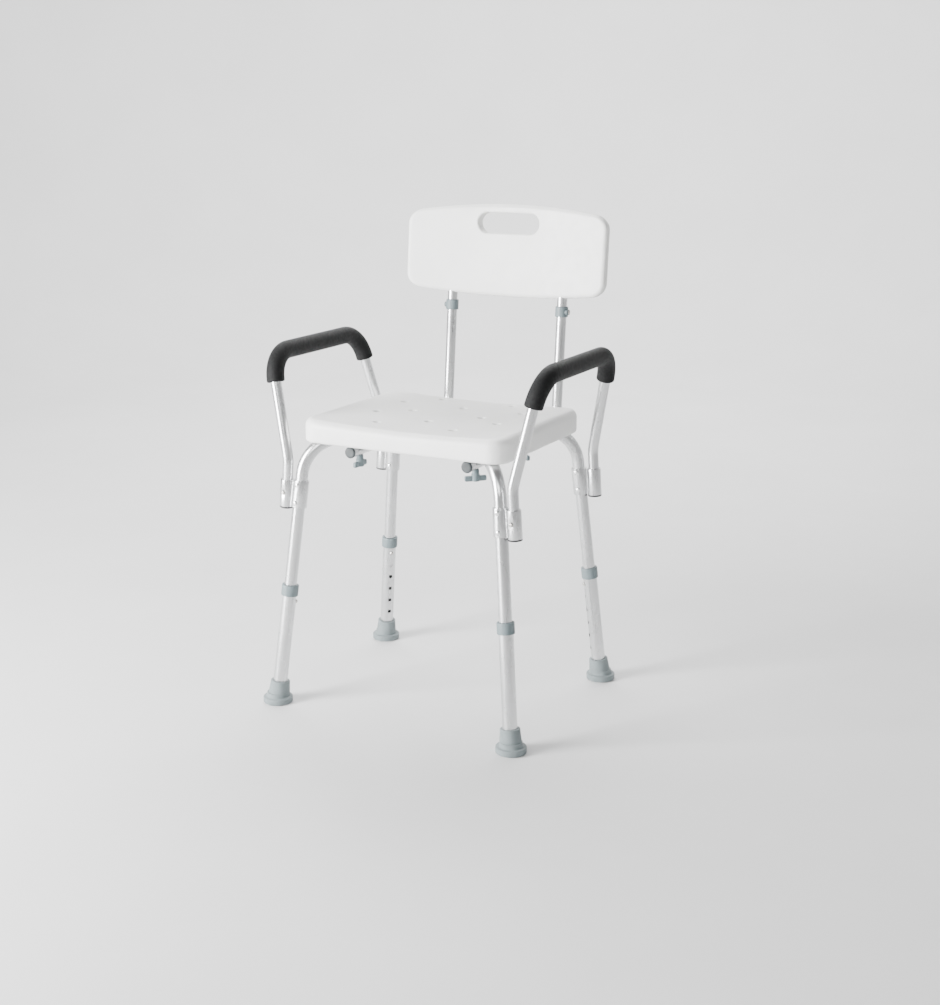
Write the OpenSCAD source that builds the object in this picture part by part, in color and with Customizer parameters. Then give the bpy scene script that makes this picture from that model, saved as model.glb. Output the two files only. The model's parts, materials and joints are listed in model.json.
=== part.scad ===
// Height-adjustable shower chair with lift-off armrests and a lift-off backrest.
// Millimetres. The front faces -Y, +Z is up, and the origin is on the floor under the middle.

/* [Stance] */
// Half the width between the foot centres
foot_x = 235.2; // [232:0.1:238]
// Half the depth between the foot centres
foot_y = 192.8; // [190:0.1:195]
// Inward lean of a leg for each unit of height
leg_slope = 0.1246; // [0.12:0.0002:0.13]
// Height of the centre line of the crossing bars
bar_z = 484.5; // [484:0.1:485]

/* [Leg frame tubes] */
// Outer diameter of the crossing tubes
frame_od = 22.2; // [22:0.1:22.3]
// Wall of the crossing tubes
frame_wall = 1.5; // [1.2:0.1:1.8]
// Bend radius where a leg turns into its bar
frame_bend = 70; // [64:1:76]
// Height of the lower ends of the frame tubes
frame_end_z = 150; // [140:1:160]
// Depth of the dip where the lower bar passes under the upper one
bar_dip = 23.5; // [23:0.1:24]

/* [Leg extensions] */
// Outer diameter of the extension tubes
extension_od = 25.4; // [25.3:0.1:25.6]
// Height of the upper ends of the extension tubes
extension_top_z = 218; // [216:1:220]
// Height of the uppermost snap hole
button_z = 190; // [188:1:192]
// Distance between snap holes
hole_pitch = 25.4; // [24:0.1:25.4]
// Number of snap holes
hole_count = 6; // [4:1:6]

/* [Seat] */
// Width of the seat
seat_width = 398; // [390:1:400]
// Distance from the middle to the seat's front edge
seat_front = 162; // [158:1:166]
// Distance from the middle to the seat's back edge
seat_back = 165; // [160:1:168]
// Height of the seat's underside
seat_bottom_z = 480; // [479:0.5:481]
// Height of the seat's top at its side rims
seat_top_z = 522.5; // [521:0.5:524]
// How far the middle of the seat is dished below the rims
seat_dish = 5.5; // [3:0.5:6]
// Corner radius of the seat in plan
seat_corner = 33; // [30:1:36]

/* [Back frame] */
// Half the distance between the back posts
post_x = 115; // [114:0.5:116]
// Outer diameter of the back and arm tubes
small_od = 19.05; // [19:0.05:19.1]
// Wall of the back and arm tubes
small_wall = 1.3; // [1.2:0.1:1.4]
// Height of the L tubes' run under the seat
run_z = 462.75; // [462.5:0.05:462.8]
// Backward lean of the posts for each unit of height
post_slope = 0.08; // [0.06:0.01:0.1]
// Bend radius behind the seat
post_bend = 50; // [45:1:55]
// Height of the upper ends of the posts
post_top_z = 688; // [686:1:690]

/* [Backrest] */
// Width of the backrest board
board_width = 412; // [400:2:420]
// Thickness of the board
board_thick = 22.5; // [22:0.5:24]
// Height of the board's top edge in the middle
board_top_z = 873; // [868:1:876]
// Height of the board's bottom edge in the middle
board_bottom_z = 701; // [698:1:704]
// Depth of the board's forward curve at its ends
board_curve = 20; // [18:1:21]

/* [Arms] */
// Height of the armrest tube's centre line
arm_z = 631; // [625:1:640]
// Half the distance between the armrests
arm_x = 260; // [256:1:264]
// Outer diameter of the foam pads
pad_od = 32; // [30:0.5:34]

/* [Hidden] */
$fn = 64;
far = 600;
slit = 0.05;
lap = 0.3;
hair = 0.01;
corner_names = ["front_left", "front_right", "rear_left", "rear_right"];
side_names = ["left", "right"];
side_of = [-1, 1, -1, 1];
fore_of = [-1, -1, 1, 1];
NODES = concat(
    ["seat_board", "upper_leg_frame", "lower_leg_frame", "left_back_post", "right_back_post"],
    ["back_post_plugs", "tube_saddles", "seat_inserts", "frame_centre_bolt", "bracket_rivets"],
    ["socket_end_caps", "post_collars", "leg_button_springs", "backrest_board"],
    ["backrest_left_tube", "backrest_right_tube", "backrest_screws", "back_button_springs"],
    ["left_arm_tube", "right_arm_tube", "left_arm_pad", "right_arm_pad"],
    ["left_arm_button_springs", "right_arm_button_springs"],
    ["left_back_button", "right_back_button"],
    [for (c = corner_names) str(c, "_arm_bracket")],
    [for (c = corner_names) str(c, "_leg_tube")],
    [for (c = corner_names) str(c, "_leg_collar")],
    [for (c = corner_names) str(c, "_foot")],
    [for (c = corner_names) str(c, "_leg_button")],
    [for (c = corner_names) str(c, "_arm_button")],
    [for (c = corner_names) str(c, "_wing_knob")],
    [for (c = corner_names) str(c, "_wing_bolt")]
);
node = "all";

// Colours
off_white = [0.9, 0.9, 0.87];
silver = [0.78, 0.79, 0.8];
steel = [0.6, 0.61, 0.62];
light_grey = [0.66, 0.68, 0.68];
mid_grey = [0.5, 0.55, 0.55];
dark_grey = [0.29, 0.31, 0.32];
foot_grey = [0.56, 0.61, 0.61];
foam_black = [0.16, 0.17, 0.17];
brass_yellow = [0.75, 0.62, 0.32];

// Leg geometry
leg_turn = atan(foot_y / foot_x);
foot_radius = norm([foot_x, foot_y]);
splay = atan(leg_slope);
frame_r = frame_od / 2;
frame_bore = frame_r - frame_wall;
dip_start = 100;
dip_end = 45;
dip_bend = 50;

// Leg extensions, with heights measured up the leg
extension_r = extension_od / 2;
extension_bore = frame_r + 0.1;
extension_start = 8.1;
extension_end = leg_len(extension_top_z);
collar_r = 15.25;
collar_low = leg_len(201);
collar_high = extension_end + 3;
snap_at = leg_len(button_z);
pin_r = 3.5;
pin_hole = pin_r + slit;
strip_thick = 0.6;
strip_width = 6;

// Foot
base_r = 26.5;
rim_high = 11;
sleeve_high = 41;

// Seat
seat_wall = 2.6;
top_round = 14;
bottom_round = 6;
groove_r = frame_r + 0.3;
groove_reach = 231;
groove_drop = 10;
dish_span = seat_width / 2 - top_round;
dish_outline = concat(
    [for (k = [-14:14]) [15 * k, seat_top_z + seat_dish * (pow(15 * k / dish_span, 2) - 1)]],
    [[210, seat_top_z + 50], [-210, seat_top_z + 50]]
);
drain_r = 6;
drains = [[-70, 16], [70, 16], [-120, -25], [120, -25], [-120, 75], [120, 75],
    [-73, 136], [73, 136], [-75, -102], [75, -102], [0, -51], [0, 80]];

// Bolts through the frame into the seat
bolt_r = 3;
bolt_hole = 3.4;
bolt_y = post_x * tan(leg_turn);
bolt_spots = [for (i = [0:3]) [side_of[i] * post_x, fore_of[i] * bolt_y]];
bolt_reach = norm([post_x, bolt_y]);
insert_low = bar_z + groove_r + 0.2;
insert_high = insert_low + 12.5;
insert_r = 5;
bolt_top = insert_high - 2;

// Back frame
small_r = small_od / 2;
small_bore = small_r - small_wall;
post_lean = atan(post_slope);
lean_z = 506;
lean_y = 238;
run_front = -125;
post_collar_r = 12;
collar_boss = 14;
spigot_r = small_bore - 0.1;
spigot_bore = spigot_r - small_wall;
back_snap = post_len(680);

// Saddles and wing knobs
saddle_size = 26;
saddle_low = 464;
knob_z = 437;
knob_top = run_z - small_r - slit;
knob_turns = [90, 46, -20, -34];
knob_half = 4.7;
wing_span = 39;
wing_thick = 5.5;

// Backrest board, in a frame that leans with the posts
board_front = small_r + 1.975;
board_r = board_radius(board_width / 2 - 1, board_curve);
board_mid = board_curve * pow(post_x / (board_width / 2 - 1), 2) - board_front;
board_low = post_len(board_bottom_z);
board_high = post_len(board_top_z);
board_corner = 28;
top_arch = 18;
bottom_arch = 12;
tube_stop = post_len(835);
slot_half = 63;
slot_low = post_len(819);
slot_high = post_len(857);
screw_w = post_len(772);

// Arms
socket_mid = 387;
socket_low = 363;
socket_high = 412;
socket_x = 223.5;
socket_slope = 0.07;
socket_y = [-165, -165, 168, 168];
socket_r = 12.5;
socket_bore = small_r + 0.1;
ring_r = 14;
web_thick = 9;
rivet_heights = [372, 405];
rivet_r = 2.4;
arm_bend_z = 447;
arm_top_y = [-150, -150, 137, 137];
pad_end_z = [572, 572, 584, 584];
arm_bends = [0, 60, 55, 55, 60, 0];
arm_snap_z = 389;

// The chair is centred on its bounding box from front to back
front_reach = foot_y + base_r;
back_reach = lean_y + sin(post_lean) * board_high + cos(post_lean) * (board_mid + board_thick);
centre_y = (front_reach - back_reach) / 2;

// True when a sub-part is to be drawn
function shown(name) = node == "all" || node == name;

function unit(v) = v / norm(v);

// Length up a leg, and the leg's distance from the middle, at a height
function leg_len(z) = z / cos(splay);
function leg_radius(z) = foot_radius - leg_slope * z;

// A point on the diagonal plane of one corner
function diagonal(i, r, z) = [side_of[i] * r * cos(leg_turn), fore_of[i] * r * sin(leg_turn), z];
function leg_point(i, z) = diagonal(i, leg_radius(z), z);

// The post line, and the length along it above its reference height
function post_y(z) = lean_y + post_slope * (z - lean_z);
function post_len(z) = (z - lean_z) / cos(post_lean);

// Radius of the arc that rises by depth over half a span
function board_radius(half, depth) = (half * half + depth * depth) / (2 * depth);

// A point on the axis of one arm socket
function socket_point(i, z) =
    [side_of[i] * (socket_x - socket_slope * (z - socket_mid)), socket_y[i], z];

// How far a path turns at one of its points, and what the bend takes from each side of it
function turn_at(path, i) = acos(unit(path[i] - path[i - 1]) * unit(path[i + 1] - path[i]));
function trim_at(path, bends, i) = bends[i] == 0 ? 0 : bends[i] * tan(turn_at(path, i) / 2);

// Centre line of one armrest, front socket to rear socket
function arm_path(s) = [
    socket_point(s, socket_low + 3.4),
    socket_point(s, arm_bend_z),
    [side_of[s] * arm_x, arm_top_y[s], arm_z],
    [side_of[s] * arm_x, arm_top_y[s + 2], arm_z],
    socket_point(s + 2, arm_bend_z),
    socket_point(s + 2, socket_low + 3.4)
];

// Puts +Z along a direction, starting from a point
module along(start, way) {
    z = unit(way);
    x = unit(cross(abs(z.x) > 0.7 ? [0, 1, 0] : [1, 0, 0], z));
    y = cross(z, x);
    multmatrix([
        [x.x, y.x, z.x, start.x],
        [x.y, y.y, z.y, start.y],
        [x.z, y.z, z.z, start.z]
    ]) children();
}

// A round bar that follows a path, with a bend radius at each corner. Each straight run reaches a
// little into the bends beside it, which are slimmer by a hair, so that the pieces join cleanly.
module bent_bar(path, bends, r, overrun = 0) {
    last = len(path) - 1;
    for (i = [0:last - 1]) {
        way = unit(path[i + 1] - path[i]);
        start = path[i] + way * (i == 0 ? -overrun : trim_at(path, bends, i) - lap);
        end = path[i + 1] - way * (i == last - 1 ? -overrun : trim_at(path, bends, i + 1) - lap);
        along(start, way) cylinder(h = norm(end - start), r = r);
    }
    for (i = [1:last - 1]) {
        u = unit(path[i] - path[i - 1]);
        v = unit(path[i + 1] - path[i]);
        n = unit(v - u * (u * v));
        w = cross(-n, u);
        c = path[i] - u * trim_at(path, bends, i) + n * bends[i];
        multmatrix([
            [-n.x, u.x, w.x, c.x],
            [-n.y, u.y, w.y, c.y],
            [-n.z, u.z, w.z, c.z]
        ]) rotate_extrude(angle = turn_at(path, i)) translate([bends[i], 0]) circle(r = r - hair);
    }
}

module bent_tube(path, bends, r, bore) {
    difference() {
        bent_bar(path, bends, r);
        bent_bar(path, bends, bore, 1);
    }
}

module ring(r, bore, low, high) {
    difference() {
        translate([0, 0, low]) cylinder(h = high - low, r = r);
        translate([0, 0, low - 1]) cylinder(h = high - low + 2, r = bore);
    }
}

// Everything is drawn about the feet, then moved to the centre of the bounding box
module placed() {
    translate([0, centre_y, 0]) children();
}

// Stands in one leg: +Z up the leg, +X away from the middle of the chair
module in_leg(i) {
    rotate([0, 0, atan2(fore_of[i] * foot_y, side_of[i] * foot_x)])
        translate([foot_radius, 0, 0]) rotate([0, -splay, 0]) children();
}

// Stands in one back post: +Z up the post
module in_post(x) {
    translate([x, lean_y, lean_z]) rotate([-post_lean, 0, 0]) children();
}

// Stands in one arm socket: +Z up the socket
module in_socket(i, z = socket_mid) {
    translate(socket_point(i, z)) rotate([0, -side_of[i] * atan(socket_slope), 0]) children();
}

// A sprung push button along +Z, with a flange inside its tube and a domed tip
module snap_button(inner, tip) {
    rotate_extrude() polygon([
        [0, inner],
        [pin_r + 0.8, inner],
        [pin_r + 0.8, inner + 1],
        [pin_r, inner + 1],
        [pin_r, tip - 1.6],
        [pin_r - 0.7, tip - 0.6],
        [pin_r - 1.9, tip],
        [0, tip]
    ]);
}

// A bent strip from the centre line of its edge
function strip_normal(p, i) = let(d = unit(p[i + 1] - p[i])) [-d.y, d.x];
function mitre(p, i) =
    i == 0 ? strip_normal(p, 0) :
    i == len(p) - 1 ? strip_normal(p, i - 1) :
    let(a = strip_normal(p, i - 1), m = unit(a + strip_normal(p, i))) m / (m * a);
function ribbon(p, t) = concat(
    [for (i = [0:len(p) - 1]) p[i] + mitre(p, i) * t / 2],
    [for (i = [len(p) - 1:-1:0]) p[i] - mitre(p, i) * t / 2]
);

// A V-shaped leaf spring: its free arm is under a button's flange, its other arm on the far wall
module leaf_spring(flange, bore) {
    free = flange - slit - strip_thick / 2;
    wall = sqrt(bore * bore - strip_width * strip_width / 4) - strip_thick;
    loop_r = 2.6;
    line = concat(
        [[free, 6], [free, -7]],
        [for (a = [0:-30:-180]) [loop_r - wall, -30] + loop_r * [cos(a), sin(a)]],
        [[-wall, 6]]
    );
    rotate([90, 0, 0]) translate([0, 0, -strip_width / 2])
        linear_extrude(strip_width) polygon(ribbon(line, strip_thick));
}

// Seat

// Half of the seat's rim in section, outwards from the corner's centre
module seat_rim() {
    height = seat_top_z - seat_bottom_z;
    translate([0, seat_bottom_z]) {
        square([seat_corner - top_round, height]);
        square([seat_corner - bottom_round, height - top_round]);
        translate([0, bottom_round]) square([seat_corner, height - top_round - bottom_round]);
        translate([seat_corner - top_round, height - top_round]) circle(r = top_round);
        translate([seat_corner - bottom_round, bottom_round]) circle(r = bottom_round);
    }
}

module rounded_square(low, high, r) {
    translate([low.x + r, low.y]) square([high.x - low.x - 2 * r, high.y - low.y]);
    translate([low.x, low.y + r]) square([high.x - low.x, high.y - low.y - 2 * r]);
    for (x = [low.x + r, high.x - r], y = [low.y + r, high.y - r]) translate([x, y]) circle(r = r);
}

// The seat's outside: a block, four rim strips and four turned corners
module seat_blank() {
    x = seat_width / 2 - seat_corner;
    front = seat_front - seat_corner;
    back = seat_back - seat_corner;
    translate([-x, -front, seat_bottom_z])
        cube([2 * x, front + back, seat_top_z - seat_bottom_z]);
    for (side = [0, 1]) mirror([side, 0, 0]) {
        translate([x, back, 0]) rotate([90, 0, 0]) linear_extrude(front + back) seat_rim();
        translate([x, back, 0]) rotate_extrude(angle = 90) seat_rim();
        translate([x, -front, 0]) rotate([0, 0, -90]) rotate_extrude(angle = 90) seat_rim();
    }
    translate([x, -front, 0]) rotate([90, 0, -90]) linear_extrude(2 * x) seat_rim();
    translate([-x, back, 0]) rotate([90, 0, 90]) linear_extrude(2 * x) seat_rim();
}

// A groove in the place of each crossing bar, open below so that the bar can bend down out of it
module crossing_grooves(r, reach) {
    for (s = [-1, 1])
        translate([0, 0, bar_z]) rotate([0, 0, s * leg_turn]) {
            rotate([0, 90, 0]) cylinder(h = 2 * reach, r = r, center = true);
            translate([-reach, slit - r, -groove_drop]) cube([2 * reach, 2 * (r - slit), groove_drop]);
        }
}

// The sealed hollow of the moulding, which stays clear of every hole and groove
module seat_hollow() {
    inset = seat_wall + 1.4;
    low = [-seat_width / 2 + inset, -seat_front + inset];
    high = [seat_width / 2 - inset, seat_back - inset];
    roof = seat_top_z - seat_dish - seat_wall - 1;
    difference() {
        translate([0, 0, seat_bottom_z + seat_wall])
            linear_extrude(roof - seat_bottom_z - seat_wall)
            rounded_square(low, high, seat_corner - inset);
        for (p = drains) translate([p.x, p.y, seat_bottom_z]) cylinder(h = 60, r = drain_r + seat_wall);
        for (p = concat(bolt_spots, [[0, 0]]))
            translate([p.x, p.y, seat_bottom_z]) cylinder(h = 60, r = insert_r + 3);
        crossing_grooves(groove_r + seat_wall, groove_reach + seat_wall);
    }
}

module seat_board() color(off_white) placed() difference() {
    seat_blank();
    rotate([90, 0, 0]) translate([0, 0, -far / 2]) linear_extrude(far) polygon(dish_outline);
    seat_hollow();
    crossing_grooves(groove_r, groove_reach);
    for (p = drains) translate([p.x, p.y, seat_bottom_z - 5]) cylinder(h = 60, r = drain_r);
    for (p = concat(bolt_spots, [[0, 0]]))
        translate([p.x, p.y, bar_z]) cylinder(h = insert_high + 0.1 - bar_z, r = insert_r + slit);
}

module seat_inserts() color(brass_yellow) placed()
    for (p = concat(bolt_spots, [[0, 0]]))
        translate([p.x, p.y, 0]) ring(insert_r, bolt_r + 0.06, insert_low, insert_high);

// Leg frame

// Bolt holes, snap holes and rivet holes of the crossing tube between corners a and b
module frame_holes(a, b) {
    for (i = [a, b]) {
        translate([side_of[i] * post_x, fore_of[i] * bolt_y, bar_z - 20])
            cylinder(h = 40, r = bolt_hole);
        in_leg(i) translate([0, 0, snap_at]) rotate([0, -90, 0]) cylinder(h = 20, r = pin_hole);
        for (z = rivet_heights) translate(leg_point(i, z)) rotate([90, 0, 0]) cylinder(h = 20, r = rivet_r);
    }
    translate([0, 0, bar_z - bar_dip - 20]) cylinder(h = 60, r = bolt_hole);
}

module upper_leg_frame() color(silver) placed() difference() {
    bent_tube(
        [leg_point(0, frame_end_z), leg_point(0, bar_z), leg_point(3, bar_z), leg_point(3, frame_end_z)],
        [0, frame_bend, frame_bend, 0], frame_r, frame_bore);
    frame_holes(0, 3);
}

module lower_leg_frame() color(silver) placed() difference() {
    bent_tube([
        leg_point(1, frame_end_z),
        leg_point(1, bar_z),
        diagonal(1, dip_start, bar_z),
        diagonal(1, dip_end, bar_z - bar_dip),
        diagonal(2, dip_end, bar_z - bar_dip),
        diagonal(2, dip_start, bar_z),
        leg_point(2, bar_z),
        leg_point(2, frame_end_z)
    ], [0, frame_bend, dip_bend, dip_bend, dip_bend, dip_bend, frame_bend, 0], frame_r, frame_bore);
    frame_holes(1, 2);
}

module frame_centre_bolt() color(steel) placed() {
    head_top = bar_z - bar_dip - frame_r - slit;
    translate([0, 0, head_top - 4]) cylinder(h = 4, r = 5.8, $fn = 6);
    translate([0, 0, head_top]) cylinder(h = bolt_top - head_top, r = bolt_r);
}

module leg_button_springs() color(steel) placed()
    for (i = [0:3])
        in_leg(i) translate([0, 0, snap_at]) mirror([1, 0, 0]) leaf_spring(7.3, frame_bore);

// Leg extensions

module leg_tube(i) color(silver) placed() in_leg(i) difference() {
    ring(extension_r, extension_bore, extension_start, extension_end);
    for (k = [0:hole_count - 1])
        translate([0, 0, snap_at - k * hole_pitch]) rotate([0, -90, 0]) cylinder(h = 20, r = pin_hole);
}

module leg_collar(i) color(mid_grey) placed() in_leg(i) rotate_extrude() polygon([
    [extension_r + slit, collar_low],
    [collar_r - 1, collar_low],
    [collar_r, collar_low + 1],
    [collar_r, collar_high - 2],
    [collar_r - 1.6, collar_high],
    [extension_bore + slit, collar_high],
    [extension_bore + slit, extension_end + slit],
    [extension_r + slit, extension_end + slit]
]);

module leg_button(i) color(steel) placed()
    in_leg(i) translate([0, 0, snap_at]) rotate([0, -90, 0]) snap_button(7.3, 15.4);

// A turned disc in section, with rounded outer edges
module disc_section(r, low, high, low_round, high_round) {
    translate([0, low]) square([r - max(low_round, high_round), high - low]);
    translate([0, low + low_round]) square([r, high - low - low_round - high_round]);
    translate([0, low]) square([r - low_round, (high - low) / 2]);
    translate([0, (low + high) / 2]) square([r - high_round, (high - low) / 2]);
    translate([r - low_round, low + low_round]) circle(r = low_round);
    translate([r - high_round, high - high_round]) circle(r = high_round);
}

module foot(i) color(foot_grey) placed() difference() {
    union() {
        translate([side_of[i] * foot_x, fore_of[i] * foot_y, 0]) rotate_extrude() {
            intersection() {
                disc_section(base_r, 0, rim_high, 2.2, 1.6);
                square([base_r, 30]);
            }
            polygon([
                [0, 5],
                [base_r - 2, 5],
                [base_r - 2, rim_high],
                [24, rim_high + 0.6],
                [22, rim_high + 2],
                [20.4, rim_high + 4.4],
                [19.4, rim_high + 8],
                [0, rim_high + 8]
            ]);
        }
        in_leg(i) rotate_extrude() polygon([
            [0, 12],
            [19, 12],
            [18.7, 22],
            [17.3, sleeve_high - 1],
            [16.3, sleeve_high],
            [0, sleeve_high]
        ]);
    }
    in_leg(i) translate([0, 0, extension_start - slit]) cylinder(h = 60, r = extension_r + slit);
}

// Back frame

module back_post(s) color(silver) placed() difference() {
    x = s * post_x;
    bent_tube([
        [x, run_front, run_z],
        [x, post_y(run_z), run_z],
        [x, post_y(post_top_z), post_top_z]
    ], [0, post_bend, 0], small_r, small_bore);
    for (y = [-bolt_y, bolt_y]) translate([x, y, run_z - 15]) cylinder(h = 30, r = bolt_hole);
    in_post(x) translate([0, 0, back_snap]) rotate([0, s * 90, 0]) cylinder(h = 20, r = pin_hole);
}

module back_post_plugs() color(dark_grey) placed()
    for (s = [-1, 1])
        translate([s * post_x, run_front, run_z]) rotate([90, 0, 0]) rotate_extrude() polygon([
            [0, -12],
            [small_bore - 1, -12],
            [small_bore - slit, -10],
            [small_bore - slit, 0],
            [small_r + 0.7, 0],
            [small_r + 0.7, 2],
            [small_r - 0.4, 3.6],
            [small_r - 2.4, 4.3],
            [0, 4.3]
        ]);

module tube_saddles() color(light_grey) placed()
    for (i = [0:3])
        difference() {
            spot = bolt_spots[i];
            half = saddle_size / 2;
            translate([spot.x, spot.y, saddle_low])
                linear_extrude(seat_bottom_z - 0.3 - saddle_low)
                rounded_square([-half, -half], [half, half], 3);
            translate([spot.x, spot.y - saddle_size, run_z]) rotate([-90, 0, 0])
                cylinder(h = 2 * saddle_size, r = small_r + slit);
            along(diagonal(i, bolt_reach - saddle_size, bar_z), diagonal(i, 1, 0))
                cylinder(h = 2 * saddle_size, r = frame_r + slit);
            translate([spot.x, spot.y, saddle_low - 1]) cylinder(h = 20, r = bolt_hole);
        }

module wing_knob(i) color(mid_grey) placed()
    translate([bolt_spots[i].x, bolt_spots[i].y, knob_z]) rotate([0, 0, knob_turns[i]]) difference() {
        union() {
            rotate_extrude() polygon([
                [0, -knob_half],
                [6.2, -knob_half],
                [7.2, 1 - knob_half],
                [7.2, 7],
                [6, 9],
                [6, knob_top - knob_z],
                [0, knob_top - knob_z]
            ]);
            rotate([90, 0, 0]) translate([0, 0, -wing_thick / 2]) linear_extrude(wing_thick)
                rounded_square([-wing_span / 2, -knob_half], [wing_span / 2, knob_half], 2);
        }
        translate([0, 0, -knob_half + 2]) cylinder(h = 40, r = bolt_r + slit);
    }

module wing_bolt(i) color(steel) placed()
    translate([bolt_spots[i].x, bolt_spots[i].y, 0]) rotate_extrude() polygon([
        [0, knob_z - knob_half + 2.1],
        [bolt_r, knob_z - knob_half + 2.1],
        [bolt_r, bolt_top - 1],
        [bolt_r - 1, bolt_top],
        [0, bolt_top]
    ]);

module post_collars() color(mid_grey) placed()
    for (s = [-1, 1])
        in_post(s * post_x) difference() {
            low = post_len(671);
            high = post_len(690);
            union() {
                rotate_extrude() polygon([
                    [0, low],
                    [post_collar_r - 1, low],
                    [post_collar_r, low + 1],
                    [post_collar_r, high - 1.4],
                    [post_collar_r - 1.4, high],
                    [0, high]
                ]);
                translate([0, 0, back_snap]) rotate([0, s * 90, 0]) linear_extrude(collar_boss)
                    rounded_square([-7.5, -5], [7.5, 5], 4.5);
            }
            translate([0, 0, low - 1]) cylinder(h = post_len(post_top_z) + 1.05 - low, r = small_r + slit);
            translate([0, 0, low]) cylinder(h = 60, r = spigot_r + 0.1);
            translate([0, 0, back_snap]) rotate([0, s * 90, 0]) cylinder(h = 30, r = pin_hole);
        }

// Backrest

// Points along an arc, both ends included
function arc(c, r, from, to, steps) =
    [for (k = [0:steps]) c + r * [cos(from + (to - from) * k / steps), sin(from + (to - from) * k / steps)]];

// Half of an arched outline: a shallow arc between two round corners, from right to left
function arched(half, edge, arch, corner, way) =
    let(
        r = board_radius(half, arch),
        c = [0, edge - way * r],
        corner_y = c.y + way * sqrt(pow(r - corner, 2) - pow(half - corner, 2)),
        lift = acos((half - corner) / (r - corner)),
        right = arc([half - corner, corner_y], corner, 0, way * lift, 8),
        middle = arc(c, r, way * lift, way * (180 - lift), 24),
        left = arc([corner - half, corner_y], corner, way * (180 - lift), way * 180, 8)
    )
    concat(right, [for (k = [1:23]) middle[k]], left);

function reversed(p) = [for (k = [len(p) - 1:-1:0]) p[k]];

module backrest_board() color(off_white) placed() in_post(0) difference() {
    half = board_width / 2;
    centre = board_mid - board_r;
    outline = concat(
        arched(half, board_high, top_arch, board_corner, 1),
        reversed(arched(half, board_low, bottom_arch, board_corner, -1))
    );
    intersection() {
        translate([0, centre, board_low - 10]) linear_extrude(board_high - board_low + 20)
            difference() {
                circle(r = board_r + board_thick, $fn = 1440);
                circle(r = board_r, $fn = 1440);
            }
        translate([0, 60, 0]) rotate([90, 0, 0]) linear_extrude(120) polygon(outline);
    }
    translate([0, 60, 0]) rotate([90, 0, 0]) linear_extrude(120)
        rounded_square([-slot_half, slot_low], [slot_half, slot_high], (slot_high - slot_low) / 2 - 0.01);
    for (s = [-1, 1]) translate([s * post_x, 0, 0]) {
        translate([0, 0, board_low - 20]) cylinder(h = tube_stop + 20.1 - board_low, r = small_r + slit);
        translate([0, 0, screw_w]) rotate([-90, 0, 0]) {
            cylinder(h = 30, r = 2 + slit);
            translate([0, 0, 10.4]) cylinder(h = 20, r = 4.4);
        }
    }
}

module backrest_tube(s) color(silver) placed() in_post(s * post_x) difference() {
    shoulder = post_len(690.2);
    union() {
        ring(small_r, small_bore, shoulder, tube_stop);
        ring(small_r, spigot_bore, shoulder, shoulder + 3);
        ring(spigot_r, spigot_bore, post_len(640), shoulder + 1);
    }
    translate([0, 0, back_snap]) rotate([0, s * 90, 0]) cylinder(h = 20, r = pin_hole);
    translate([0, 0, screw_w]) rotate([-90, 0, 0]) cylinder(h = 20, r = 2 + slit);
}

module backrest_screws() color(steel) placed()
    for (s = [-1, 1])
        in_post(s * post_x) translate([0, 0, screw_w]) rotate([-90, 0, 0]) rotate_extrude() polygon([
            [0, 3.4],
            [1.5, 3.4],
            [2, 5],
            [2, 10.4],
            [4, 10.4],
            [4, 11.4],
            [3, 12.4],
            [0, 12.8]
        ]);

module back_button(s) color(steel) placed()
    in_post(s * post_x) translate([0, 0, back_snap]) rotate([0, s * 90, 0]) snap_button(4.2, 16);

module back_button_springs() color(steel) placed()
    for (s = [-1, 1])
        in_post(s * post_x) translate([0, 0, back_snap]) mirror([s < 0 ? 1 : 0, 0, 0])
            leaf_spring(4.2, spigot_bore);

// Arms

module arm_bracket(i) color(silver) placed() difference() {
    height = socket_high - socket_low;
    root = leg_point(i, socket_mid);
    tip = socket_point(i, socket_mid);
    union() {
        in_leg(i) translate([0, 0, leg_len(socket_low)]) cylinder(h = height, r = ring_r);
        in_socket(i, socket_low) cylinder(h = height, r = socket_r);
        translate((root + tip) / 2)
            rotate([0, 0, atan2(tip.y - root.y, tip.x - root.x)])
            cube([norm(tip - root), web_thick, height - 6], center = true);
    }
    in_leg(i) translate([0, 0, leg_len(socket_low) - 20]) cylinder(h = height + 40, r = frame_r + slit);
    in_socket(i, socket_low - 20) cylinder(h = height + 40, r = socket_bore);
    for (z = rivet_heights) translate(leg_point(i, z)) rotate([90, 0, 0]) {
        cylinder(h = 20, r = rivet_r);
        translate([0, 0, ring_r - 0.7]) cylinder(h = 20, r = 4.8);
    }
    in_socket(i, arm_snap_z) rotate([-90 * fore_of[i], 0, 0]) cylinder(h = 20, r = pin_hole);
}

module bracket_rivets() color(silver) placed()
    for (i = [0:3], z = rivet_heights)
        translate(leg_point(i, z)) rotate([90, 0, 0]) rotate_extrude() polygon([
            [0, 7.6],
            [rivet_r - slit, 7.6],
            [rivet_r - slit, 13.3],
            [4.5, 13.3],
            [4.3, 14.2],
            [3.4, 15.1],
            [1.8, 15.6],
            [0, 15.7]
        ]);

module socket_end_caps() color(foam_black) placed()
    for (i = [0:3])
        in_socket(i, socket_low) rotate_extrude() polygon([
            [0, -3],
            [socket_r - 1.2, -3],
            [socket_r - 0.2, -2],
            [socket_r - 0.2, 0],
            [small_r, 0],
            [small_r, 3],
            [0, 3]
        ]);

module arm_tube(s) color(silver) placed() difference() {
    bent_tube(arm_path(s), arm_bends, small_r, small_bore);
    for (i = [s, s + 2])
        in_socket(i, arm_snap_z) rotate([-90 * fore_of[i], 0, 0]) cylinder(h = 20, r = pin_hole);
}

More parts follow.
